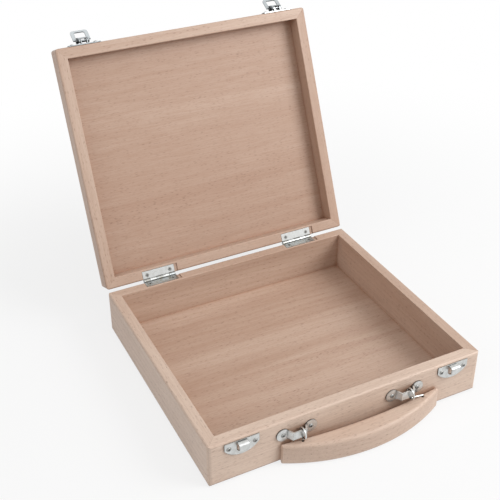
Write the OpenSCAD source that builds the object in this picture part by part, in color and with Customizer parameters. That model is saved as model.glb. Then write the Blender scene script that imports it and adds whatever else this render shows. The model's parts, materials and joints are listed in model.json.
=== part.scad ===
// Domino storage box: a hinged wooden case with two toggle latches and a wooden carrying handle.
// Origin: middle of the underside of the base. X across the front, Y to the back, Z up.
// The lid is drawn standing open on its hinge stops; lid parts are shaped closed, then swung.

/* [Contents] */
// Length of one domino tile, laid across the box
tile_l = 50; // [46:0.5:60]
// Width of one tile, front to back
tile_w = 25; // [23:0.5:30]
// Thickness of one tile
tile_t = 8; // [7.5:0.5:12]
// Tiles side by side across the box
tiles_across = 4; // [4:1:6]
// Rows of tiles from front to back
tiles_deep = 7; // [4:1:10]
// Layers of tiles in the well
tile_layers = 4; // [4:1:6]
// Free play across all tiles of a row
play_across = 4; // [1:0.5:8]
// Free play front to back
play_deep = 3.5; // [1:0.5:8]
// Space left between the top layer and the rim
play_up = 0.5; // [0.2:0.1:4]

/* [Case] */
// Thickness of the side walls
wall_t = 8.8; // [7.5:0.1:12]
// Thickness of the bottom and lid panels
panel_t = 4; // [3:0.5:6]
// Depth of the hollow in the lid
lid_recess = 12.5; // [10:0.5:30]
// How far a panel is let into the walls
rabbet_w = 4.4; // [2:0.1:5]
// Play of a panel in its rabbet, each side
panel_play = 0.15; // [0.05:0.05:0.4]
// Rounding of the rims' outer edges
edge_r = 1.5; // [0.5:0.1:2.5]
// Radius of the case's upright outer corners
corner_r = 3; // [1:0.5:6]
// Radius of the outer edge round the case's underside and the lid's top
foot_r = 3; // [1:0.5:4]
// Easing of the inner rim edges
inner_r = 0.5; // [0.2:0.1:1]
// Gap between the two rims when shut
rim_gap = 0.1; // [0.05:0.05:0.4]
// Opening angle at which the hinge stops hold the lid
lid_open = 113.3; // [95:0.1:120]

/* [Hinges] */
// Distance from the box side to a hinge's middle
hinge_inset = 45.8; // [36:0.1:60]
// Length of a hinge leaf
leaf_w = 28; // [22:0.5:34]
// Depth of a leaf, in from the back face
leaf_d = 7; // [6:0.1:7.4]
// Thickness of a leaf
leaf_t = 0.9; // [0.8:0.1:1.2]
// Knuckles on one hinge
knuckles = 5; // [3:2:7]
// Outer diameter of the barrel
barrel_d = 3; // [2.8:0.1:3.6]
// Diameter of the hinge pin
hinge_pin_d = 1.4; // [1.2:0.1:1.6]
// How far the pin's axis stands behind the back face
pivot_back = 1.1; // [1:0.05:1.4]
// Length of the stop lip below the axis
stop_lip_l = 4.6; // [3.5:0.1:7]
// Distance from a leaf's end to its screw
leaf_screw_in = 4; // [3:0.1:6]
// Extra length of the cut-out beyond the leaf's right end
mortise_over = 3; // [0.2:0.1:5]
// Play of a leaf in its cut-out
mortise_play = 0.2; // [0.1:0.05:0.4]

/* [Latches] */
// Distance from the box side to a latch's middle
latch_inset = 24.8; // [20:0.1:36]
// Width of a catch or latch plate
catch_w = 26; // [24:0.5:30]
// Height of a plate at its middle
catch_h = 12.3; // [11.5:0.1:14]
// Radius of a plate's curved edge
catch_arc_r = 16; // [14:0.5:24]
// Thickness of the stamped sheet
sheet_t = 0.8; // [0.6:0.1:1]
// Distance from the base rim down to the catch plate
catch_drop = 1.9; // [1.5:0.1:3]
// Distance from the middle of a plate to its screws
catch_screw_x = 9.8; // [9:0.1:11]
// Distance from a plate's straight edge to its screws
catch_screw_in = 4.8; // [4:0.1:6]
// Width of the catch's hook
hook_w = 7.4; // [6:0.1:7.8]
// How far the hook stands out from the wall
hook_out = 5; // [4.6:0.1:6]
// Height of the hook, shelf to tip
hook_h = 6; // [5:0.1:6.5]
// How far the hook's lip leans back towards its plate, in degrees
lip_lean = 4; // [0:1:6]
// Width of the lever over its cheeks
lever_w = 8; // [7.6:0.1:9]
// Length of the lever above its pin
lever_l = 10; // [8:0.1:11]
// Height of the lever's hood off the wall
lever_h = 5.8; // [5.4:0.1:7]
// Height of the lever pin above the lid's rim
lever_pin_up = 2; // [1.8:0.1:3]
// Distance of the lever pin out from the wall
lever_pin_out = 3.2; // [3:0.1:3.4]
// Distance from the lever pin up to the bail pin
draw_throw = 4.2; // [4:0.1:5]
// How far the bail pin lies past the lever pin, towards the wall, when shut
over_centre = 0.6; // [0.3:0.1:0.8]
// Diameter of the latch pins
latch_pin_d = 1.2; // [1:0.1:1.4]
// Width of a bail arm
bail_arm_w = 2.8; // [2:0.1:3.5]
// Height of the bail's cross bar
bail_bar_h = 1.8; // [1.4:0.1:2.2]
// Thickness of the bail's sheet
bail_t = 0.9; // [0.7:0.1:1.1]
// Angle at which the bail stands off the lid when left alone
bail_lean = 50; // [20:1:90]
// Clearance beside moving latch parts
latch_play = 0.3; // [0.2:0.05:0.4]

/* [Handle] */
// Length of the grip
grip_l = 129; // [115:1:135]
// Height of the grip as it lies, front wall to table
grip_t = 17.6; // [14:0.1:18]
// Bow of the grip's outer side
grip_bow = 16; // [12:0.5:24]
// Width of the grip at its ends
grip_end = 3.4; // [3:0.1:8]
// Bow of the grip's inner side
grip_arch = 4.9; // [4.5:0.1:7]
// Rounding of the grip's edges
grip_r = 2.5; // [1:0.1:3]
// How far the eyes have slid to the right along their straps
ring_slide = 2.45; // [0:0.05:2.5]
// Clearance between the lying grip and wall or table
grip_gap = 0.3; // [0.2:0.05:0.5]
// Distance from a grip end to its eye
eye_in = 14.75; // [12:0.05:18]
// Wire diameter of the eyes
eye_wire_d = 1.3; // [1:0.1:1.4]
// Distance from the box middle to a strap's middle
strap_x = 44.2; // [40:0.1:48]
// Height of the straps above the table
strap_z = 24.8; // [24:0.1:28]
// Height of the strap's bridge
strap_h = 6.4; // [5:0.1:6.6]
// Length of the raised bridge
bridge_l = 9.8; // [8:0.1:10]
// Thickness of the strap's sheet
strap_t = 1; // [0.8:0.1:1.2]
// Radius of a strap's end lobe
lobe_r = 5; // [4.5:0.1:5.4]
// Distance from the strap's middle to a screw
lobe_x = 10.8; // [10:0.1:13]

/* [Screws] */
// Shank diameter of the wood screws
screw_d = 1.6; // [1.2:0.1:1.8]
// Head diameter of the countersunk hinge screws
sunk_head_d = 3.2; // [3:0.1:3.4]
// Head diameter of the round-head screws
round_head_d = 3.6; // [3:0.1:4]
// Height of a round head
round_head_h = 0.9; // [0.7:0.1:1.2]
// Length of a screw's shank
screw_l = 7; // [5:0.5:8]

/* [Hidden] */
$fn = 64;
fit = 0.05;         // radial clearance of a turning pin or a seated screw
seat_fit = 0.01;    // radial clearance of a pin held in its seat
joint_gap = 0.15;   // gap between neighbouring knuckles
barrel_play = 0.3;  // gap round the hinge barrel
eye_play = 0.15;    // gap between an eye's ring and the bridge it hangs on
screw_tip_d = 0.2;  // blunt end of a screw's point
plate_margin = 0.2; // sheet left below the latch plate's ears
eps = 0.01;         // overshoot of a cutting body
over = 1;           // overshoot of a cut through a face
front_y = -(tiles_deep * tile_w + play_deep) / 2 - wall_t;
back_y = -front_y;
side_x = (tiles_across * tile_l + play_across) / 2 + wall_t;
box_w = 2 * side_x;
box_d = 2 * back_y;
base_h = panel_t + tile_layers * tile_t + play_up;
lid_h = lid_recess + panel_t;
lid_z = base_h + rim_gap;
pivot = [0, back_y + pivot_back, base_h + rim_gap / 2];
hinge_x = side_x - hinge_inset;
latch_x = side_x - latch_inset;
leaf_screw_x = leaf_w / 2 - leaf_screw_in;
leaf_screw_y = back_y - leaf_d / 2;
knuckle_l = leaf_w / knuckles;
catch_top = base_h - catch_drop;
hook_top = catch_top - sheet_t;
// latch points in a plane across the latch: [distance out from the wall, height]
lever_pin = [lever_pin_out, lid_z + lever_pin_up];
bail_pin = lever_pin + [-over_centre, draw_throw];
bail_reach = bail_pin[1] - (hook_top - sheet_t) + latch_play;
pin_eye_r = latch_pin_d / 2 + sheet_t;
bail_in = lever_w / 2 + latch_play;
bail_pin_l = 2 * (bail_in + bail_t + sheet_t / 2);
latch_plate_low = lid_z + lever_pin_up - pin_eye_r - plate_margin;
grip_z = grip_gap;
grip_top = grip_z + grip_t;
grip_back = front_y - grip_gap;
grip_out_r = (pow(grip_l / 2, 2) + pow(grip_bow, 2)) / (2 * grip_bow);
grip_in_r = (pow(grip_l / 2, 2) + pow(grip_arch, 2)) / (2 * grip_arch);
eye_r = sqrt(pow(strap_h / 2, 2) + pow(strap_t / 2, 2)) + eye_play + eye_wire_d / 2;
strap_out = eye_r + eye_wire_d / 2 + 2 * eye_play;
eye_x = grip_l / 2 - eye_in;
grip_slide = ring_slide + eye_x - strap_x;

beech = "burlywood";
nickel = "silver";

// ---- placing ----

// Swings a part that is shaped closed to the open lid's place.
module on_lid() {
    translate(pivot) rotate([-lid_open, 0, 0]) translate(-pivot) children();
}

// A copy for each hinge, latch or strap: left, then right.
module both(x) {
    for (side = [-1, 1]) translate([side * x, 0, 0]) children();
}

// Lifts a [out, height] profile into a slice across the front wall, w wide about x = 0.
module front_slice(w) {
    translate([w / 2, front_y, 0]) rotate([90, 0, -90]) linear_extrude(w) children();
}

// Lifts an [x, height] outline off the front wall, from distance out_from to out_to.
module front_sheet(out_from, out_to) {
    translate([0, front_y - out_from, 0]) rotate([90, 0, 0])
        linear_extrude(out_to - out_from) children();
}

// ---- screws ----

module cross_recess() {
    slot_l = 2;
    slot_w = 0.45;
    slot_deep = 0.4;
    for (a = [0, 90]) rotate(a) cube([slot_l, slot_w, 2 * slot_deep], center = true);
}

// Countersunk screw, pointing down, head flush with z = 0.
module sunk_screw() {
    sink_h = (sunk_head_d - screw_d) / 2;
    difference() {
        union() {
            translate([0, 0, -sink_h]) cylinder(d1 = screw_d, d2 = sunk_head_d, h = sink_h);
            translate([0, 0, -screw_l]) cylinder(d = screw_d, h = screw_l - sink_h + eps);
            translate([0, 0, -screw_l - screw_d]) cylinder(d1 = screw_tip_d, d2 = screw_d, h = screw_d);
        }
        cross_recess();
    }
}

// Seat for a countersunk screw: shank hole and countersink.
module sunk_hole() {
    sink_h = (sunk_head_d - screw_d) / 2;
    translate([0, 0, -sink_h - fit]) cylinder(d1 = screw_d, d2 = sunk_head_d, h = sink_h);
    translate([0, 0, -fit - eps]) cylinder(d = sunk_head_d, h = over);
    translate([0, 0, -leaf_t - over]) cylinder(d = screw_d + 2 * fit, h = leaf_t + over);
}

// Round-head screw, pointing down, head seated on z = 0.
module round_screw() {
    ball_r = (pow(round_head_d / 2, 2) + pow(round_head_h, 2)) / (2 * round_head_h);
    difference() {
        union() {
            intersection() {
                translate([0, 0, round_head_h - ball_r]) sphere(ball_r);
                cylinder(d = round_head_d, h = round_head_h);
            }
            translate([0, 0, -screw_l]) cylinder(d = screw_d, h = screw_l + eps);
            translate([0, 0, -screw_l - screw_d]) cylinder(d1 = screw_tip_d, d2 = screw_d, h = screw_d);
        }
        translate([0, 0, round_head_h]) cross_recess();
    }
}

// Hole for a shank in wood or sheet, as deep as the screw.
module pilot_hole() {
    deep = screw_l + screw_d + fit;
    translate([0, 0, -deep]) cylinder(d = screw_d + 2 * fit, h = deep + over);
}

// Places children at the screws of one hinge leaf, pointing down into the base rim.
module at_base_leaf_screws() {
    both(leaf_screw_x) translate([0, leaf_screw_y, base_h]) children();
}

// The same for the lid leaf, pointing up into the closed lid.
module at_lid_leaf_screws() {
    both(leaf_screw_x) translate([0, leaf_screw_y, lid_z]) mirror([0, 0, 1]) children();
}

// Places children on the front wall, pointing back into the wood.
module on_front(x, z, out) {
    translate([x, front_y - out, z]) rotate([90, 0, 0]) children();
}

module at_catch_screws(out) {
    for (side = [-1, 1]) on_front(side * catch_screw_x, catch_top - catch_screw_in, out) children();
}

module at_latch_screws(out) {
    for (side = [-1, 1]) on_front(side * catch_screw_x, latch_plate_low + catch_screw_in, out) children();
}

module at_strap_screws(out) {
    for (side = [-1, 1]) on_front(side * lobe_x, strap_z, out) children();
}

// ---- wooden case ----

// Cross-section of a wall, outer face at x = 0, rim at the top, rabbet for the panel at the foot.
module wall_profile(h) {
    difference() {
        union() {
            translate([0, foot_r]) square([wall_t - inner_r, h - foot_r - edge_r]);
            translate([foot_r, 0]) square([wall_t - foot_r, h - inner_r]);
            translate([edge_r, foot_r]) square([wall_t - edge_r - inner_r, h - foot_r]);
            translate([foot_r, foot_r]) circle(foot_r);
            translate([edge_r, h - edge_r]) circle(edge_r);
            translate([wall_t - inner_r, h - inner_r]) circle(inner_r);
        }
        translate([wall_t - rabbet_w, -over]) square([rabbet_w + over, panel_t + over]);
    }
}

// Plan of the whole case with rounded corners.
module case_plan(w, d) {
    square([w - 2 * corner_r, d], center = true);
    square([w, d - 2 * corner_r], center = true);
    for (x = [-1, 1], y = [-1, 1])
        translate([x * (w / 2 - corner_r), y * (d / 2 - corner_r)]) circle(corner_r);
}

// One mitred wall along the -Y side of a case w by d.
module wall(w, d, h) {
    intersection() {
        translate([-w / 2, -d / 2, 0]) rotate([90, 0, 90]) linear_extrude(w) wall_profile(h);
        linear_extrude(h) case_plan(w, d);
        linear_extrude(h) polygon([
            [-w / 2, -d / 2],
            [w / 2, -d / 2],
            [w / 2 - wall_t, wall_t - d / 2],
            [wall_t - w / 2, wall_t - d / 2]
        ]);
    }
}

// Closed lid walls are base walls turned upside down.
module lid_flip() {
    translate([0, 0, lid_z + lid_h]) mirror([0, 0, 1]) children();
}

module panel() {
    cut = 2 * (wall_t - rabbet_w + panel_play);
    translate([0, 0, panel_t / 2]) cube([box_w - cut, box_d - cut, panel_t], center = true);
}

// Cut-out for a hinge in both rims, with room for the barrel.
module hinge_cut(deep) {
    cut_w = leaf_w + mortise_play + mortise_over;
    translate([-leaf_w / 2 - mortise_play, back_y - leaf_d - mortise_play, -deep])
        cube([cut_w, leaf_d + mortise_play + over, 2 * deep]);
}

module barrel_relief() {
    cut_w = leaf_w + mortise_play + mortise_over;
    translate([-leaf_w / 2 - mortise_play, pivot[1], pivot[2]]) rotate([0, 90, 0])
        cylinder(d = barrel_d + 2 * barrel_play, h = cut_w);
}

module base_wall_front() {
    color(beech) difference() {
        wall(box_w, box_d, base_h);
        both(latch_x) at_catch_screws(0) pilot_hole();
        both(strap_x) at_strap_screws(0) pilot_hole();
    }
}

module base_wall_back() {
    color(beech) difference() {
        rotate(180) wall(box_w, box_d, base_h);
        both(hinge_x) {
            translate([0, 0, base_h]) hinge_cut(leaf_t);
            barrel_relief();
            at_base_leaf_screws() pilot_hole();
        }
    }
}

module base_wall_left() {
    color(beech) rotate(-90) wall(box_d, box_w, base_h);
}

module base_wall_right() {
    color(beech) rotate(90) wall(box_d, box_w, base_h);
}

module base_panel() {
    color(beech) panel();
}

module lid_wall_front() {
    color(beech) on_lid() difference() {
        lid_flip() wall(box_w, box_d, lid_h);
        both(latch_x) at_latch_screws(0) pilot_hole();
    }
}

module lid_wall_back() {
    color(beech) on_lid() difference() {
        lid_flip() rotate(180) wall(box_w, box_d, lid_h);
        both(hinge_x) {
            translate([0, 0, lid_z]) hinge_cut(leaf_t);
            barrel_relief();
            at_lid_leaf_screws() pilot_hole();
        }
    }
}

module lid_wall_left() {
    color(beech) on_lid() lid_flip() rotate(-90) wall(box_d, box_w, lid_h);
}

module lid_wall_right() {
    color(beech) on_lid() lid_flip() rotate(90) wall(box_d, box_w, lid_h);
}

module lid_panel() {
    color(beech) on_lid() lid_flip() panel();
}

// ---- hinges ----

// Knuckle number i of the barrel, without its bore.
module knuckle(i) {
    translate([-leaf_w / 2 + i * knuckle_l + joint_gap / 2, pivot[1], pivot[2]]) rotate([0, 90, 0])
        cylinder(d = barrel_d, h = knuckle_l - joint_gap);
}

// Block across knuckle i, from y to the axis and from height low, high tall.
module knuckle_block(i, y, low, high) {
    translate([-leaf_w / 2 + i * knuckle_l + joint_gap / 2, y, low])
        cube([knuckle_l - joint_gap, pivot[1] - y, high]);
}

module barrel_bore(clear) {
    translate([-leaf_w / 2 - over, pivot[1], pivot[2]]) rotate([0, 90, 0])
        cylinder(d = hinge_pin_d + 2 * clear, h = leaf_w + 2 * over);
}

// A leaf with its sheet from height low, carrying every second knuckle from first on.
module leaf(low, first) {
    leaf_end = pivot[1] - barrel_d / 2 - barrel_play;
    translate([-leaf_w / 2, back_y - leaf_d, low]) cube([leaf_w, leaf_end - back_y + leaf_d, leaf_t]);
    for (i = [first : 2 : knuckles - 1]) {
        knuckle_block(i, leaf_end - eps, low, leaf_t);
        knuckle(i);
    }
}

module base_leaf() {
    difference() {
        leaf(base_h - leaf_t, 0);
        barrel_bore(seat_fit);
        at_base_leaf_screws() sunk_hole();
    }
}

// Stop lip: hangs from the lid's knuckles and bears on the base's back face when open.
module stop_lip(i) {
    wall_left = 0.2;
    lip_root = hinge_pin_d / 2 + wall_left;
    translate([-leaf_w / 2 + i * knuckle_l + joint_gap, back_y + fit, pivot[2] - stop_lip_l])
        cube([knuckle_l - 2 * joint_gap, leaf_t, stop_lip_l - lip_root]);
}

module lid_leaf() {
    difference() {
        union() {
            on_lid() leaf(lid_z, 1);
            for (i = [1 : 2 : knuckles - 1]) stop_lip(i);
        }
        barrel_bore(fit);
        on_lid() at_lid_leaf_screws() sunk_hole();
    }
}

module hinge_left_base_leaf() {
    color(nickel) translate([-hinge_x, 0, 0]) base_leaf();
}

module hinge_right_base_leaf() {
    color(nickel) translate([hinge_x, 0, 0]) base_leaf();
}

module hinge_left_lid_leaf() {
    color(nickel) translate([-hinge_x, 0, 0]) lid_leaf();
}

module hinge_right_lid_leaf() {
    color(nickel) translate([hinge_x, 0, 0]) lid_leaf();
}

module hinge_pin() {
    translate([-leaf_w / 2, pivot[1], pivot[2]]) rotate([0, 90, 0])
        cylinder(d = hinge_pin_d, h = leaf_w);
}

module hinge_left_pin() {
    color(nickel) translate([-hinge_x, 0, 0]) hinge_pin();
}

module hinge_right_pin() {
    color(nickel) translate([hinge_x, 0, 0]) hinge_pin();
}

module hinge_screws_base() {
    color(nickel) both(hinge_x) at_base_leaf_screws() sunk_screw();
}

module hinge_screws_lid() {
    color(nickel) on_lid() both(hinge_x) at_lid_leaf_screws() sunk_screw();
}

// ---- catches on the base ----

// Outline of a catch or latch plate: straight edge on y = 0, curved edge below.
module plate_outline() {
    intersection() {
        translate([-catch_w / 2, -catch_h]) square([catch_w, catch_h]);
        translate([0, catch_arc_r - catch_h]) circle(catch_arc_r);
    }
}

// Opening left in the plate where the hook's tongue was pushed out.
module tongue_opening() {
    open_w = hook_w + 2 * latch_play;
    translate([-open_w / 2, -hook_h]) square([open_w, hook_h - 2 * sheet_t]);
    translate([0, -hook_h]) circle(d = open_w);
}

// Side view of the hook, as [out, height]: a shelf, a bend and a lip that leans back to the plate.
module hook_profile() {
    bend_r = 1.5;
    bend = [hook_out - bend_r, hook_top - bend_r];
    lip_l = hook_h - bend_r;
    translate([0, hook_top - sheet_t]) square([bend[0] + eps, sheet_t]);
    translate(bend) difference() {
        circle(bend_r);
        circle(bend_r - sheet_t);
        translate([-2 * bend_r, -2 * bend_r]) square([2 * bend_r, 4 * bend_r]);
        rotate(-lip_lean) translate([-2 * bend_r, -2 * bend_r]) square([4 * bend_r, 2 * bend_r]);
    }
    translate(bend) rotate(-lip_lean) translate([bend_r - sheet_t, -lip_l])
        square([sheet_t, lip_l + eps]);
}

// Front view of the hook: a tongue with rounded lower corners.
module tongue_outline() {
    tip_r = 2;
    translate([-hook_w / 2, hook_top - hook_h + tip_r]) square([hook_w, hook_h - tip_r + over]);
    translate([tip_r - hook_w / 2, hook_top - hook_h]) square([hook_w - 2 * tip_r, hook_h]);
    for (side = [-1, 1])
        translate([side * (hook_w / 2 - tip_r), hook_top - hook_h + tip_r]) circle(tip_r);
}

module catch_plate() {
    difference() {
        front_sheet(0, sheet_t) translate([0, catch_top]) difference() {
            plate_outline();
            tongue_opening();
        }
        at_catch_screws(sheet_t) pilot_hole();
    }
    intersection() {
        front_slice(hook_w) hook_profile();
        front_sheet(-over, hook_out + over) tongue_outline();
    }
    // joins the hook's shelf to the plate
    front_sheet(0, sheet_t) translate([-hook_w / 2 - eps, hook_top - sheet_t])
        square([hook_w + 2 * eps, sheet_t + eps]);
}

module catch_left_plate() {
    color(nickel) translate([-latch_x, 0, 0]) catch_plate();
}

module catch_right_plate() {
    color(nickel) translate([latch_x, 0, 0]) catch_plate();
}

module catch_screws() {
    color(nickel) both(latch_x) at_catch_screws(sheet_t) round_screw();
}

// ---- toggle latches on the lid, shaped with the lid closed ----

// Circle on a latch point.
module pin_disc(point, r) {
    translate(point) circle(r);
}

// Sheet ear from the wall to a pin.
module plate_ear() {
    difference() {
        union() {
            pin_disc(lever_pin, pin_eye_r);
            translate([0, lever_pin[1] - pin_eye_r]) square([lever_pin[0], 2 * pin_eye_r]);
        }
        pin_disc(lever_pin, latch_pin_d / 2 + seat_fit);
    }
}

module latch_plate() {
    ear_x = lever_w / 2 - 2 * sheet_t - latch_play;
    difference() {
        front_sheet(0, sheet_t) translate([0, latch_plate_low]) mirror([0, 1]) plate_outline();
        at_latch_screws(sheet_t) pilot_hole();
    }
    for (side = [-1, 1]) translate([side * (ear_x + sheet_t / 2), 0, 0]) front_slice(sheet_t) plate_ear();
}

// Side view of the lever: round about its pin, with a hood ending in a turned-up thumb edge.
module lever_profile() {
    low = lever_pin[1];
    top = low + lever_l;
    bevel_in = 1.2;
    bevel_low = 0.3;
    bevel_high = 0.9;
    tip_t = 2 * sheet_t;
    back_gap = 0.6;
    pin_disc(lever_pin, pin_eye_r);
    polygon([
        [lever_pin[0] - pin_eye_r, low],
        [lever_h - bevel_in, low - bevel_low],
        [lever_h, low + bevel_high],
        [lever_h, top],
        [lever_h - tip_t, top],
        [sheet_t + back_gap, low + draw_throw + pin_eye_r]
    ]);
}

module lever_body() {
    thumb_r = 1.3;
    inner_w = lever_w - 2 * sheet_t;
    hood_back = lever_h - sheet_t;
    low = lever_pin[1] - pin_eye_r - over;
    top = lever_pin[1] + lever_l;
    difference() {
        front_slice(lever_w) lever_profile();
        front_slice(inner_w) translate([-over, low]) square([hood_back + over, top + over - low]);
        front_slice(lever_w + over) pin_disc(lever_pin, latch_pin_d / 2 + fit);
        front_slice(lever_w + over) pin_disc(bail_pin, latch_pin_d / 2 + seat_fit);
    }
    front_slice(lever_w) translate([lever_h - sheet_t + thumb_r, top - eps]) intersection() {
        difference() {
            circle(thumb_r);
            circle(thumb_r - sheet_t);
        }
        translate([-thumb_r, 0]) square(thumb_r);
    }
}

module latch_pin(point, w) {
    translate([0, front_y - point[0], point[1]]) rotate([0, 90, 0])
        cylinder(d = latch_pin_d, h = w, center = true);
}

// The bail lying straight up from its pin, before it is leaned out.
module bail_flat() {
    out_w = bail_in + bail_arm_w;
    top = bail_reach + bail_bar_h;
    round_r = 2.4;
    window_r = 1.4;
    arm_low = pin_eye_r;
    rotate([90, 0, 0]) translate([0, 0, -bail_t / 2]) linear_extrude(bail_t) difference() {
        union() {
            translate([-out_w, arm_low]) square([2 * out_w, top - arm_low - round_r]);
            translate([round_r - out_w, arm_low]) square([2 * (out_w - round_r), top - arm_low]);
            for (side = [-1, 1])
                translate([side * (out_w - round_r), top - round_r]) circle(round_r);
        }
        translate([-bail_in, -over]) square([2 * bail_in, bail_reach - window_r + over]);
        translate([window_r - bail_in, -over]) square([2 * (bail_in - window_r), bail_reach + over]);
        for (side = [-1, 1])
            translate([side * (bail_in - window_r), bail_reach - window_r]) circle(window_r);
    }
    for (side = [-1, 1]) translate([side * (bail_in + bail_t / 2), 0, 0]) rotate([90, 0, 90])
        linear_extrude(bail_t, center = true) {
            circle(pin_eye_r);
            translate([-bail_t / 2, 0]) square([bail_t, arm_low + window_r]);
        }
}

module bail() {
    translate([0, front_y - bail_pin[0], bail_pin[1]]) difference() {
        rotate([bail_lean, 0, 0]) bail_flat();
        rotate([0, 90, 0])
            cylinder(d = latch_pin_d + 2 * fit, h = 2 * (bail_in + bail_arm_w), center = true);
    }
}

module latch_left_plate() {
    color(nickel) on_lid() translate([-latch_x, 0, 0]) latch_plate();
}

module latch_right_plate() {
    color(nickel) on_lid() translate([latch_x, 0, 0]) latch_plate();
}

module latch_screws() {
    color(nickel) on_lid() both(latch_x) at_latch_screws(sheet_t) round_screw();
}

module latch_left_lever_pin() {
    color(nickel) on_lid() translate([-latch_x, 0, 0]) latch_pin(lever_pin, lever_w);
}

module latch_right_lever_pin() {
    color(nickel) on_lid() translate([latch_x, 0, 0]) latch_pin(lever_pin, lever_w);
}

module latch_left_lever() {
    color(nickel) on_lid() translate([-latch_x, 0, 0]) lever_body();
}

module latch_right_lever() {
    color(nickel) on_lid() translate([latch_x, 0, 0]) lever_body();
}

module latch_left_bail_pin() {
    color(nickel) on_lid() translate([-latch_x, 0, 0]) latch_pin(bail_pin, bail_pin_l);
}

module latch_right_bail_pin() {
    color(nickel) on_lid() translate([latch_x, 0, 0]) latch_pin(bail_pin, bail_pin_l);
}

module latch_left_bail() {
    color(nickel) on_lid() translate([-latch_x, 0, 0]) bail();
}

module latch_right_bail() {
    color(nickel) on_lid() translate([latch_x, 0, 0]) bail();
}

// ---- carrying handle ----

// Slice of a disc of radius r, grip_t thick, its rim rounded over above and below.
module rounded_disc(r) {
    rotate_extrude($fn = 240) {
        square([r - grip_r, grip_t]);
        translate([0, grip_r]) square([r, grip_t - 2 * grip_r]);
        for (z = [grip_r, grip_t - grip_r]) translate([r - grip_r, z]) circle(grip_r);
    }
}

// Cutter for the inner side: a disc whose rim flares to leave rounded edges.
module flared_disc(r) {
    rotate_extrude($fn = 240) {
        translate([0, -over]) square([r, grip_t + 2 * over]);
        difference() {
            translate([r - eps, -over]) square([grip_r + eps, grip_t + 2 * over]);
            translate([r - over, grip_r]) square([grip_r + 2 * over, grip_t - 2 * grip_r]);
            for (z = [grip_r, grip_t - grip_r]) translate([r + grip_r, z]) circle(grip_r);
        }
    }
}

module handle_grip() {
    outer_y = grip_back - grip_end - grip_bow + grip_out_r;
    inner_y = grip_back - grip_arch + grip_in_r;
    color(beech) difference() {
        intersection() {
            translate([grip_slide, outer_y, grip_z]) rounded_disc(grip_out_r);
            translate([grip_slide - grip_l / 2, grip_back - grip_end - grip_bow - over, grip_z])
                cube([grip_l, grip_end + grip_bow + over, grip_t]);
        }
        translate([grip_slide, inner_y, grip_z]) flared_disc(grip_in_r);
        for (side = [-1, 1])
            translate([grip_slide + side * eye_x, front_y - strap_out, grip_top]) eye_hole();
    }
}

module eye_hole() {
    seat_deep = 0.6;
    translate([0, 0, -grip_t / 2]) cylinder(d = eye_wire_d + 2 * fit, h = grip_t);
    translate([0, 0, -seat_deep]) cylinder(d = 2 * eye_wire_d, h = seat_deep + over);
}

// Straight wire from one point to another.
module wire(from, to) {
    run = to - from;
    reach = norm(run);
    translate(from) rotate([0, acos(run[2] / reach), atan2(run[1], run[0])])
        cylinder(d = eye_wire_d, h = reach);
}

// An eye: a ring round the strap's bridge and a leg into the grip.
module eye(ring_x, leg_x) {
    axis = [ring_x, front_y - strap_out, strap_z];
    foot = axis - [0, 0, eye_r];
    turn = [leg_x, axis[1], grip_top + eye_wire_d];
    tip = [leg_x, axis[1], grip_top - grip_t / 2 + fit];
    color(nickel) {
        translate(axis) rotate([0, 90, 0]) rotate_extrude() translate([eye_r, 0]) circle(d = eye_wire_d);
        wire(foot, turn);
        translate(turn) sphere(d = eye_wire_d + 2 * fit);
        wire(turn, tip);
    }
}

module handle_eye_left() {
    eye(ring_slide - strap_x, grip_slide - eye_x);
}

module handle_eye_right() {
    eye(ring_slide + strap_x, grip_slide + eye_x);
}

// Half of a strap seen from above, as [x, out]: from the middle of the bridge to the flat end.
function half_strap() = let(
    foot_x = bridge_l / 2 + strap_out / 2,
    end_x = lobe_x + lobe_r,
    bridge_out = strap_out + strap_t / 2
) [
    [0, bridge_out], [bridge_l / 2 + strap_t / 2, bridge_out], [foot_x + strap_t / 2, strap_t],
    [end_x, strap_t], [end_x, 0], [foot_x - strap_t / 2, 0],
    [bridge_l / 2 - strap_t / 2, bridge_out - strap_t], [0, bridge_out - strap_t]
];

module strap_profile() {
    right = half_strap();
    count = len(right);
    polygon([for (p = right) p, for (i = [count - 2 : -1 : 1]) [-right[i][0], right[i][1]]]);
}

// Front view of a strap: two round lobes joined by the bridge.
module strap_outline() {
    for (side = [-1, 1]) translate([side * lobe_x, strap_z]) circle(lobe_r);
    translate([-lobe_x, strap_z - strap_h / 2]) square([2 * lobe_x, strap_h]);
}

module strap() {
    color(nickel) difference() {
        intersection() {
            translate([0, front_y, strap_z - lobe_r]) mirror([0, 1, 0])
                linear_extrude(2 * lobe_r) strap_profile();
            front_sheet(-over, 2 * strap_out) strap_outline();
        }
        at_strap_screws(strap_t) pilot_hole();
    }
}

module handle_strap_left() {
    translate([-strap_x, 0, 0]) strap();
}

module handle_strap_right() {
    translate([strap_x, 0, 0]) strap();
}

module handle_strap_screws() {
    color(nickel) both(strap_x) at_strap_screws(strap_t) round_screw();
}

base_wall_front();
base_wall_back();
base_wall_left();
base_wall_right();
base_panel();
lid_wall_front();
lid_wall_back();
lid_wall_left();
lid_wall_right();
lid_panel();
hinge_left_base_leaf();
hinge_right_base_leaf();
hinge_left_lid_leaf();
hinge_right_lid_leaf();
hinge_left_pin();
hinge_right_pin();
hinge_screws_base();
hinge_screws_lid();
catch_left_plate();
catch_right_plate();
catch_screws();
latch_left_plate();
latch_right_plate();
latch_screws();
latch_left_lever_pin();
latch_right_lever_pin();
latch_left_lever();
latch_right_lever();
latch_left_bail_pin();
latch_right_bail_pin();
latch_left_bail();
latch_right_bail();
handle_grip();
handle_eye_left();
handle_eye_right();
handle_strap_left();
handle_strap_right();
handle_strap_screws();
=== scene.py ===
"""Looks for the domino storage box: beech boards, nickel-plated hardware, pale floor, soft light."""

import json
import math

import bpy
from mathutils import Euler, Matrix, Vector


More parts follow.
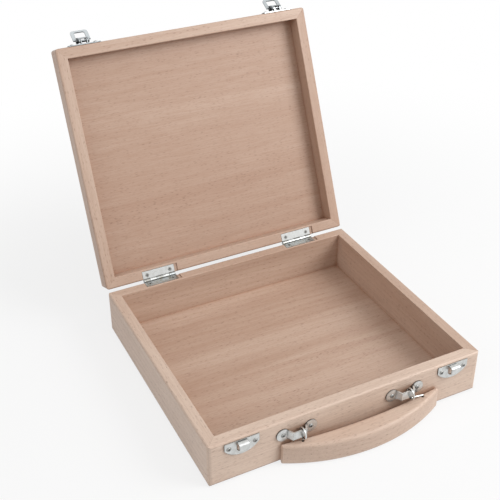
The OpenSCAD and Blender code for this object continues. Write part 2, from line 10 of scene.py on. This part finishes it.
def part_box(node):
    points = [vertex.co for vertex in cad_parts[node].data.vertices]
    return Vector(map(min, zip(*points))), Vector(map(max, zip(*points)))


MM = 0.001

# ---- the frame ----

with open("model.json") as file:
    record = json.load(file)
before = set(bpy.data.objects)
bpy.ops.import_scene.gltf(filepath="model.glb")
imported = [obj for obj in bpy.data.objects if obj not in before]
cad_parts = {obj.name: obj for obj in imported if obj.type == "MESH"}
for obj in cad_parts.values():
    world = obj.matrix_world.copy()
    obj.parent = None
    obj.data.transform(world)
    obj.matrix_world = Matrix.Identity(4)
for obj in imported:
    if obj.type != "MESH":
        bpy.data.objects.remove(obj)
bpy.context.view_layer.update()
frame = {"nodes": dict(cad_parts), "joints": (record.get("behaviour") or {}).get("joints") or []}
nodes = frame["nodes"]
joints = {joint["name"]: joint for joint in frame["joints"]}

# ---- camera, as fitted to the corners of the box ----

CAMERA_PLACE = Vector((-283.72, -509.63, 478.44)) * MM
CAMERA_AZIMUTH = 26.106   # degrees that the view turns right of +Y
CAMERA_ELEVATION = 31.277
CAMERA_ROLL = 0.469
FOCAL_PIXELS = 936.77
PHOTO_PIXELS = 500
CENTRE_X = 245.19         # where the lens axis meets the photograph
CENTRE_Y = 223.95
SENSOR = 36.0
NEAREST = 0.01            # metres, the camera's clipping
FARTHEST = 20.0

camera_data = bpy.data.cameras.new("camera")
camera_data.sensor_width = SENSOR
camera_data.lens = FOCAL_PIXELS / PHOTO_PIXELS * SENSOR
camera_data.shift_x = (PHOTO_PIXELS / 2 - CENTRE_X) / PHOTO_PIXELS
camera_data.shift_y = (CENTRE_Y - PHOTO_PIXELS / 2) / PHOTO_PIXELS
camera_data.clip_start = NEAREST
camera_data.clip_end = FARTHEST
camera = bpy.data.objects.new("camera", camera_data)
bpy.context.scene.collection.objects.link(camera)
camera.location = CAMERA_PLACE
turn = Euler((math.radians(90 - CAMERA_ELEVATION), 0, math.radians(-CAMERA_AZIMUTH))).to_matrix()
camera.rotation_euler = (turn @ Matrix.Rotation(math.radians(-CAMERA_ROLL), 3, "Z")).to_euler()
bpy.context.scene.camera = camera


# ---- helpers for shader nodes ----

BEVEL_SAMPLES = 6
HOLLOW_SAMPLES = 12
EDGE_TURN = (0.80, 0.99)   # dot product of the eased and the true normal, at an edge and on a flat


class Shader:
    """Builds a material's node tree with short calls. Every call returns an output socket."""

    def __init__(self, name):
        self.material = bpy.data.materials.new(name)
        self.material.use_nodes = True
        self.tree = self.material.node_tree
        self.tree.nodes.clear()
        self.output = self.tree.nodes.new("ShaderNodeOutputMaterial")

    def node(self, kind, **settings):
        made = self.tree.nodes.new(kind)
        for key, value in settings.items():
            setattr(made, key, value)
        return made

    def put(self, socket, value):
        if isinstance(value, bpy.types.NodeSocket):
            self.tree.links.new(value, socket)
        elif value is not None:
            socket.default_value = value

    def math(self, operation, a, b=None, c=None, clamp=False):
        made = self.node("ShaderNodeMath", operation=operation, use_clamp=clamp)
        for socket, value in zip(made.inputs, (a, b, c)):
            self.put(socket, value)
        return made.outputs[0]

    def mapping(self, vector, location=(0, 0, 0), rotation=(0, 0, 0), scale=(1, 1, 1)):
        made = self.node("ShaderNodeMapping")
        self.put(made.inputs["Vector"], vector)
        made.inputs["Location"].default_value = location
        made.inputs["Rotation"].default_value = rotation
        made.inputs["Scale"].default_value = scale
        return made.outputs[0]

    def noise(self, vector, scale, detail=2.0, roughness=0.5):
        made = self.node("ShaderNodeTexNoise")
        self.put(made.inputs["Vector"], vector)
        made.inputs["Scale"].default_value = scale
        made.inputs["Detail"].default_value = detail
        made.inputs["Roughness"].default_value = roughness
        return made.outputs["Fac"]

    def ramp(self, value, low, high, to_low=0.0, to_high=1.0):
        made = self.node("ShaderNodeMapRange", interpolation_type="SMOOTHSTEP")
        for key, number in (("Value", value), ("From Min", low), ("From Max", high),
                            ("To Min", to_low), ("To Max", to_high)):
            self.put(made.inputs[key], number)
        return made.outputs["Result"]

    def blend(self, amount, a, b, how="MIX"):
        made = self.node("ShaderNodeMix", data_type="RGBA", blend_type=how)
        self.put(made.inputs["Factor"], amount)
        self.put(made.inputs["A"], a)
        self.put(made.inputs["B"], b)
        return made.outputs["Result"]

    def parts(self, vector):
        made = self.node("ShaderNodeSeparateXYZ")
        self.put(made.inputs[0], vector)
        return made.outputs

    def object_place(self):
        return self.node("ShaderNodeTexCoord").outputs["Object"]

    def eased(self, radius):
        """The normal as if the edges were rounded by radius."""
        made = self.node("ShaderNodeBevel", samples=BEVEL_SAMPLES)
        made.inputs["Radius"].default_value = radius
        return made.outputs["Normal"]

    def painted_hollow_shade(self, reach, low, high, dark):
        """Painted shade: 1 on open surfaces, down to dark in hollow places and creases no wider than
        reach.
        """
        made = self.node("ShaderNodeAmbientOcclusion", samples=HOLLOW_SAMPLES)
        made.inputs["Distance"].default_value = reach
        return self.ramp(made.outputs["AO"], low, high, dark, 1.0)

    def edges(self, radius, dark):
        """Painted dark reflection: 1 on flat surfaces, down to dark on the sheared edges, as seen
        within radius of them.
        """
        flat = self.node("ShaderNodeNewGeometry").outputs["Normal"]
        dot = self.node("ShaderNodeVectorMath", operation="DOT_PRODUCT")
        self.put(dot.inputs[0], self.eased(radius))
        self.put(dot.inputs[1], flat)
        return self.ramp(dot.outputs["Value"], *EDGE_TURN, dark, 1.0)

    def shade(self, colour, amount):
        """The colour times a grey amount."""
        grey = self.node("ShaderNodeCombineColor")
        for socket in grey.inputs[:3]:
            self.put(socket, amount)
        return self.blend(1.0, colour, grey.outputs[0], how="MULTIPLY")

    def bump(self, height, strength, distance, normal=None):
        made = self.node("ShaderNodeBump")
        self.put(made.inputs["Normal"], normal)
        made.inputs["Strength"].default_value = strength
        made.inputs["Distance"].default_value = distance
        self.put(made.inputs["Height"], height)
        return made.outputs["Normal"]

    def principled(self, **sockets):
        made = self.node("ShaderNodeBsdfPrincipled")
        for key, value in sockets.items():
            self.put(made.inputs[key.replace("_", " ")], value)
        self.tree.links.new(made.outputs[0], self.output.inputs["Surface"])
        return self.material


def rgb(red, green, blue):
    """A colour given as 0 to 255 sRGB, as linear RGBA."""
    def linear(value):
        value /= 255
        return value / 12.92 if value <= 0.04045 else ((value + 0.055) / 1.055) ** 2.4
    return (linear(red), linear(green), linear(blue), 1.0)


# ---- beech ----

BEECH_LIGHT = rgb(212, 190, 173)
BEECH_PINK = rgb(180, 151, 132)
BEECH_LINE = rgb(156, 116, 93)
BEECH_FLECK = rgb(112, 74, 56)
BEECH_CORNER_SHADE = (0.82, 0.68, 0.60, 1.0)   # painted shade: share of each colour left in the inside corners
RING_PITCH = 4.2       # mm between growth rings where they are cut square
PITH_AWAY = 160.0      # mm from a board to the heart of its tree
PITH_ASIDE = 20.0      # mm that the heart lies to the side of the board
GRAIN_SLOPE = 0.03     # how far the grain wanders off the board's length
RING_WANDER = 6.0      # mm that a growth ring strays from a true circle
FLECK_LENGTH = 5.2     # mm from one ray's dash to the next along the grain
FLECK_WIDTH = 0.85     # mm from one dash to the next across it
WARMTH_SPREAD = 0.24   # how far a board's tone strays to either side of its own warmth
STREAK_DEPTH = 0.26    # shares of BEECH_LINE in the fibre streaks, the late wood and the pores
LATE_DEPTH = 0.15
PORE_DEPTH = 0.26
FLECK_DEPTH = 0.62     # share of BEECH_FLECK in the dashes
# The painted shade in the inside corners reaches this far and fades with open sky.
CORNER_SHADE_REACH = 7.0 * MM
CORNER_SHADE_OPENNESS = (0.30, 0.80)           # share of open sky in a full corner and on an open face
JOINT_WIDTH = (0.10 * MM, 0.35 * MM)   # half the glue line, and where its shade has faded
JOINT_SHADE = 0.88
FOOT_HEIGHT = 3.0 * MM   # the rounded foot, painted darker than the wall above it as shade
FOOT_SHADE = 0.42        # share of the colour that the painted shade takes from the foot
BEECH_RELIEF = 0.12 * MM

hinge = joints["lid_hinge"]
PIVOT = Vector(hinge["pos_m"])
LID_OPEN = math.radians(hinge["range_deg"][1])


def shut_place(shader, pivot_at):
    """Object coordinates turned as if the lid were shut, with the pivot at pivot_at."""
    shut = Matrix.Rotation(LID_OPEN, 3, "X")
    return shader.mapping(shader.object_place(), location=pivot_at - shut @ PIVOT,
                          rotation=(LID_OPEN, 0, 0))


def board_place(shader, along, on_lid, seed):
    """Coordinates in mm with the board's length on X, in the lid's own frame for a lid board."""
    place = shut_place(shader, Vector()) if on_lid else shader.object_place()
    spin = (0, 0, math.radians(-90)) if along == "Y" else (0, 0, 0)
    shift = (seed * 137.0, seed * 53.0, seed * 29.0)
    return shader.mapping(place, location=shift, rotation=spin, scale=(1 / MM,) * 3)


def mitre_line(shader, on_lid):
    """1 away from the corner joints, less in the thin glue line where two walls meet."""
    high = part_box("base_panel")[1]
    x, y, _ = shader.parts(shut_place(shader, PIVOT) if on_lid else shader.object_place())
    past_side = shader.math("SUBTRACT", shader.math("ABSOLUTE", x), high.x)
    past_end = shader.math("SUBTRACT", shader.math("ABSOLUTE", y), high.y)
    off_joint = shader.math("ABSOLUTE", shader.math("SUBTRACT", past_side, past_end))
    return shader.ramp(off_joint, *JOINT_WIDTH, JOINT_SHADE, 1.0)


def painted_foot_shade(shader):
    """Painted shade: 1 on the walls, less on the rounded foot, and 1 again on the flat underside."""
    height = shader.parts(shader.object_place())[2]
    above = shader.ramp(height, 0.0, 0.1 * FOOT_HEIGHT)
    below = shader.ramp(height, 0.3 * FOOT_HEIGHT, FOOT_HEIGHT, 1.0, 0.0)
    return shader.math("MULTIPLY_ADD", shader.math("MULTIPLY", above, below), -FOOT_SHADE, 1.0)


def late_wood(s, place, drawn_out, seed):
    """1 in the darker late wood of each growth ring, cut as rings around the tree's heart."""
    heart = s.mapping(place, location=(0, PITH_ASIDE - seed * 53.0, PITH_AWAY - seed * 29.0))
    along, aside, away = s.parts(heart)
    leaning = s.math("MULTIPLY_ADD", along, GRAIN_SLOPE, aside)
    squares = s.math("ADD", s.math("POWER", leaning, 2.0), s.math("POWER", away, 2.0))
    wander = s.noise(drawn_out, 0.045, detail=3.0)
    radius = s.math("MULTIPLY_ADD", wander, RING_WANDER, s.math("SQRT", squares))
    ring = s.math("FRACT", s.math("DIVIDE", radius, RING_PITCH))
    late = s.math("MULTIPLY", s.ramp(ring, 0.35, 0.86), s.ramp(ring, 0.90, 1.0, 1.0, 0.0))
    faint = s.ramp(s.noise(drawn_out, 0.06, detail=2.0), 0.35, 0.7, 0.25, 1.0)
    return s.math("MULTIPLY", late, faint)


def ray_flecks(s, place, late):
    """1 in the short dashes of the rays, in some cells only and fewer in late wood."""
    cell = (1 / FLECK_LENGTH, 1 / FLECK_WIDTH, 1 / FLECK_WIDTH)
    cells = s.node("ShaderNodeTexVoronoi", feature="F1")
    s.put(cells.inputs["Vector"], s.mapping(place, scale=cell))
    cells.inputs["Scale"].default_value = 1.0
    cells.inputs["Randomness"].default_value = 1.0
    chosen = s.node("ShaderNodeSeparateColor")
    s.put(chosen.inputs[0], cells.outputs["Color"])
    fleck = s.math("MULTIPLY", s.ramp(cells.outputs["Distance"], 0.10, 0.34, 1.0, 0.0),
                   s.ramp(chosen.outputs[0], 0.18, 0.55))
    return s.math("MULTIPLY", fleck, s.ramp(late, 0.0, 0.5, 0.55, 1.0))


def beech(name, along="X", on_lid=False, seed=1.0, tone_and_shade=0.5, jointed=True, grain=1.0,
          corner_shade=True):
    """Clear-coated beech: growth rings, fibre streaks and the short dark flecks of its rays, with
    painted shade in the inside corners and on the base's foot.
    """
    s = Shader(name)
    place = board_place(s, along, on_lid, seed)
    drawn_out = s.mapping(place, scale=(0.03, 1, 1))
    late = late_wood(s, place, drawn_out, seed)
    fleck = ray_flecks(s, place, late)
    fibres = s.mapping(place, scale=(0.05, 1.6, 1.6))
    streak = s.noise(fibres, 1.0, detail=4.0, roughness=0.65)
    mottle = s.noise(s.mapping(place, scale=(0.10, 1, 1)), 0.035, detail=3.0)
    vessels = s.mapping(place, scale=(0.35, 2.6, 2.6))
    pores = s.ramp(s.noise(vessels, 1.0, detail=2.0, roughness=0.6), 0.56, 0.72)

    tone = s.ramp(mottle, 0.30, 0.70, tone_and_shade - WARMTH_SPREAD, tone_and_shade + WARMTH_SPREAD)
    colour = s.blend(tone, BEECH_LIGHT, BEECH_PINK)
    colour = s.blend(s.ramp(streak, 0.35, 0.75, 0.0, STREAK_DEPTH * grain), colour, BEECH_LINE)
    colour = s.blend(s.math("MULTIPLY", late, LATE_DEPTH * grain), colour, BEECH_LINE)
    colour = s.blend(s.math("MULTIPLY", pores, PORE_DEPTH * grain), colour, BEECH_LINE)
    colour = s.blend(s.math("MULTIPLY", fleck, FLECK_DEPTH), colour, BEECH_FLECK)
    if jointed:
        colour = s.shade(colour, mitre_line(s, on_lid))
        # painted shade on the base's rounded foot
        if not on_lid:
            colour = s.shade(colour, painted_foot_shade(s))
    # Painted shade: inside corners darker and warmer the less open sky they see.
    if corner_shade:
        corner_shaded = s.blend(1.0, colour, BEECH_CORNER_SHADE, how="MULTIPLY")
        colour = s.blend(s.painted_hollow_shade(CORNER_SHADE_REACH, *CORNER_SHADE_OPENNESS, 0.0), corner_shaded, colour)

    relief = s.math("MULTIPLY_ADD", streak, 0.6, s.math("MULTIPLY", fleck, -0.5))
    return s.principled(
        Base_Color=colour,
        Roughness=s.ramp(streak, 0.2, 0.8, 0.42, 0.56),
        Specular_IOR_Level=0.42,
        Coat_Weight=0.10,
        Coat_Roughness=0.35,
        Normal=s.bump(relief, 0.22, BEECH_RELIEF),
    )


# ---- nickel plate ----

NICKEL = rgb(214, 216, 215)
NICKEL_HAZE = rgb(198, 199, 197)
# Darker copies of the same nickel for the latches, screws and hinge base leaves: painted shade and
# painted dark reflection.
LATCH_SHADED_NICKEL = rgb(180, 185, 187)
SCREW_SHADED_NICKEL = rgb(160, 160, 157)
HINGE_LEAF_SHADED_NICKEL = rgb(164, 162, 154)
EDGE_EASE = 0.15      # mm of rounding that the plated edges show
EDGE_REACH = 0.35     # mm beside a sheared edge over which a dark reflection is painted
HOLLOW_REACH = 3.5    # mm, the widest hollow that gets painted shade
HOLLOW_CLOSED = 0.42  # share of open sky at which a hollow is as dark as it gets
HOLLOW_SHADE = 0.05   # share of the colour that the painted shade leaves there
METALLIC = 0.88
METAL_RELIEF = 0.05 * MM


def nickel(name, roughness, seed, edge=0.40, tint=NICKEL, haze_tint=NICKEL_HAZE,
           reach=HOLLOW_REACH, open_at=0.90):
    """Bright plated sheet: painted shade in hollow places, painted dark reflection on the sheared
    edges, hairline scratches and some haze.
    """
    s = Shader(name)
    place = s.mapping(s.object_place(), location=(seed * 11.0, seed * 7.0, 0), scale=(1 / MM,) * 3)
    haze = s.noise(place, 0.35, detail=4.0)
    hairs = s.noise(s.mapping(place, rotation=(0.3, 0.2, 0.6), scale=(0.25, 5, 5)), 1.0, detail=3.0)
    waves = s.noise(place, 0.22, detail=1.0)
    # painted shade in hollow places times painted dark reflection on the edges
    painted_shade = s.math("MULTIPLY", s.painted_hollow_shade(reach * MM, HOLLOW_CLOSED, open_at, HOLLOW_SHADE),
                  s.edges(EDGE_REACH * MM, edge))
    relief = s.math("MULTIPLY_ADD", hairs, 0.06, waves)
    return s.principled(
        Base_Color=s.shade(s.blend(s.ramp(haze, 0.3, 0.7), tint, haze_tint), painted_shade),
        Metallic=METALLIC,
        Roughness=s.ramp(haze, 0.25, 0.75, roughness - 0.04, roughness + 0.06),
        Normal=s.bump(relief, 0.05, METAL_RELIEF, s.eased(EDGE_EASE * MM)),
    )


# ---- which piece is made of what ----

def paint(node, material):
    """Gives one CAD node that material in every slot."""
    target = nodes[node].data
    if not target.materials:
        target.materials.append(material)
    for index in range(len(target.materials)):
        target.materials[index] = material


# Seeds place each board in its own part of the tree; the tone number is the share of BEECH_PINK in
# it, partly each board's own tone and partly painted shade: the lid's boards and panel are set
# darker, the lid's right wall most.
BOARD_SEEDS = {
    "base_wall_front": 1.3, "base_wall_back": 2.6, "base_wall_left": 3.9, "base_wall_right": 5.2,
    "lid_wall_front": 6.1, "lid_wall_back": 7.4, "lid_wall_left": 8.7, "lid_wall_right": 9.8,
}
BOARD_TONE_AND_SHADE = {
    "base_wall_front": 0.02, "base_wall_left": 0.15, "base_wall_right": 0.60, "base_wall_back": 0.60,
    "lid_wall_left": 0.75, "lid_wall_front": 0.65, "lid_wall_right": 1.10, "lid_wall_back": 0.60,
}
for board, seed in BOARD_SEEDS.items():
    side_board = board.endswith("left") or board.endswith("right")
    wood = beech("beech_" + board, along="Y" if side_board else "X", on_lid=board.startswith("lid"),
                 seed=seed, tone_and_shade=BOARD_TONE_AND_SHADE[board])
    paint(board, wood)
paint("base_panel", beech("beech_base_panel", seed=11.0, tone_and_shade=0.75, jointed=False, grain=1.3))
# The lid panel's tone is set darker, partly as painted shade.
paint("lid_panel", beech("beech_lid_panel", on_lid=True, seed=12.4, tone_and_shade=1.05, jointed=False,
                         grain=1.5))
paint("handle_grip", beech("beech_grip", seed=14.2, tone_and_shade=0.15, jointed=False, corner_shade=False))

plate_finish = nickel("nickel_plate", 0.30, 1.0)
wire_finish = nickel("nickel_wire", 0.18, 2.0, edge=1.0)
# The screw, latch and hinge-leaf finishes are darker copies as painted shade and painted dark
# reflection; the latch's painted hollow shade reaches further.
screw_finish = nickel("nickel_screws", 0.50, 3.0, tint=SCREW_SHADED_NICKEL, haze_tint=SCREW_SHADED_NICKEL)
latch_finish = nickel("nickel_latch", 0.26, 4.0, edge=0.25, tint=LATCH_SHADED_NICKEL, haze_tint=LATCH_SHADED_NICKEL,
                      reach=6.0, open_at=1.0)
hinge_finish = nickel("nickel_hinge", 0.30, 5.0, tint=HINGE_LEAF_SHADED_NICKEL, haze_tint=LATCH_SHADED_NICKEL)
for node in nodes:
    if "wall" in node or "panel" in node or "grip" in node:
        continue
    if "screws" in node:
        paint(node, screw_finish)
    elif "base_leaf" in node:
        paint(node, hinge_finish)
    elif node.startswith("latch"):
        paint(node, latch_finish)
    elif "eye" in node or "pin" in node:
        paint(node, wire_finish)
    else:
        paint(node, plate_finish)

# ---- floor, light and backdrop ----

FLOOR_SIZE = 12.0     # metres
FLOOR_PAPER = rgb(225, 225, 225)
FLOOR_GLOW = 0.78     # share of plain white in the floor close to the object, as the camera sees it
SHADOW_REACH = 0.22   # metres from the middle of the object over which the floor keeps that share
WHITE_REACH = 0.60    # metres from there at which the floor is plain white
WORLD_LEVEL = 0.40    # light from the backdrop, which is itself seen as plain white
LAMPS = (             # name, place, what it is aimed at, width in metres, watts
    ("key", (0.95, -0.75, 0.95), (0, 0.0, 0.04), 1.0, 18.0),
    ("left", (-1.20, -0.30, 1.00), (0, 0.05, 0.08), 1.2, 4.5),
    ("top", (0.1, -0.05, 1.6), (0, 0, 0.05), 1.8, 4.2),
)


def make_floor():
    """White paper under the object that keeps its shadow and fades to plain white further off."""
    mesh = bpy.data.meshes.new("floor")
    half = FLOOR_SIZE / 2
    corners = [(-half, -half, 0), (half, -half, 0), (half, half, 0), (-half, half, 0)]
    mesh.from_pydata(corners, [], [(0, 1, 2, 3)])
    floor = bpy.data.objects.new("floor", mesh)
    bpy.context.scene.collection.objects.link(floor)
    s = Shader("floor_paper")
    s.principled(Base_Color=FLOOR_PAPER, Roughness=0.9, Specular_IOR_Level=0.1)
    lit = s.tree.nodes["Principled BSDF"].outputs[0]
    white = s.node("ShaderNodeEmission")
    white.inputs["Strength"].default_value = 1.0
    path = s.node("ShaderNodeLightPath")
    seen = s.math("MAXIMUM", path.outputs["Is Camera Ray"], path.outputs["Is Glossy Ray"])
    seen = s.math("MAXIMUM", seen, path.outputs["Is Transmission Ray"])
    mix = s.node("ShaderNodeMixShader")
    away = s.node("ShaderNodeVectorMath", operation="LENGTH")
    s.put(away.inputs[0], s.object_place())
    glow = s.ramp(away.outputs["Value"], SHADOW_REACH, WHITE_REACH, FLOOR_GLOW, 1.0)
    s.put(mix.inputs["Fac"], s.math("MULTIPLY", seen, glow))
    s.tree.links.new(lit, mix.inputs[1])
    s.tree.links.new(white.outputs[0], mix.inputs[2])
    s.tree.links.new(mix.outputs[0], s.output.inputs["Surface"])
    mesh.materials.append(s.material)


def make_world(strength):
    """A backdrop seen as plain white, directly and in reflections, that lights with strength."""
    world = bpy.data.worlds.new("studio")
    bpy.context.scene.world = world
    world.use_nodes = True
    tree = world.node_tree
    background = tree.nodes["Background"]
    background.inputs["Color"].default_value = (1.0, 1.0, 1.0, 1.0)
    path = tree.nodes.new("ShaderNodeLightPath")
    seen = tree.nodes.new("ShaderNodeMath")
    seen.operation = "MAXIMUM"
    tree.links.new(path.outputs["Is Camera Ray"], seen.inputs[0])
    tree.links.new(path.outputs["Is Glossy Ray"], seen.inputs[1])
    through = tree.nodes.new("ShaderNodeMath")
    through.operation = "MAXIMUM"
    tree.links.new(seen.outputs[0], through.inputs[0])
    tree.links.new(path.outputs["Is Transmission Ray"], through.inputs[1])
    level = tree.nodes.new("ShaderNodeMapRange")
    level.inputs["To Min"].default_value = strength
    level.inputs["To Max"].default_value = 1.0
    tree.links.new(through.outputs[0], level.inputs["Value"])
    tree.links.new(level.outputs["Result"], background.inputs["Strength"])


def area_light(name, place, aim, size, power):
    data = bpy.data.lights.new(name, "AREA")
    data.shape = "DISK"
    data.size = size
    data.energy = power
    lamp = bpy.data.objects.new(name, data)
    bpy.context.scene.collection.objects.link(lamp)
    lamp.location = place
    lamp.rotation_euler = (Vector(aim) - Vector(place)).to_track_quat("-Z", "Y").to_euler()


make_floor()
make_world(WORLD_LEVEL)
for lamp_settings in LAMPS:
    area_light(*lamp_settings)

bpy.context.scene.view_settings.view_transform = "Standard"
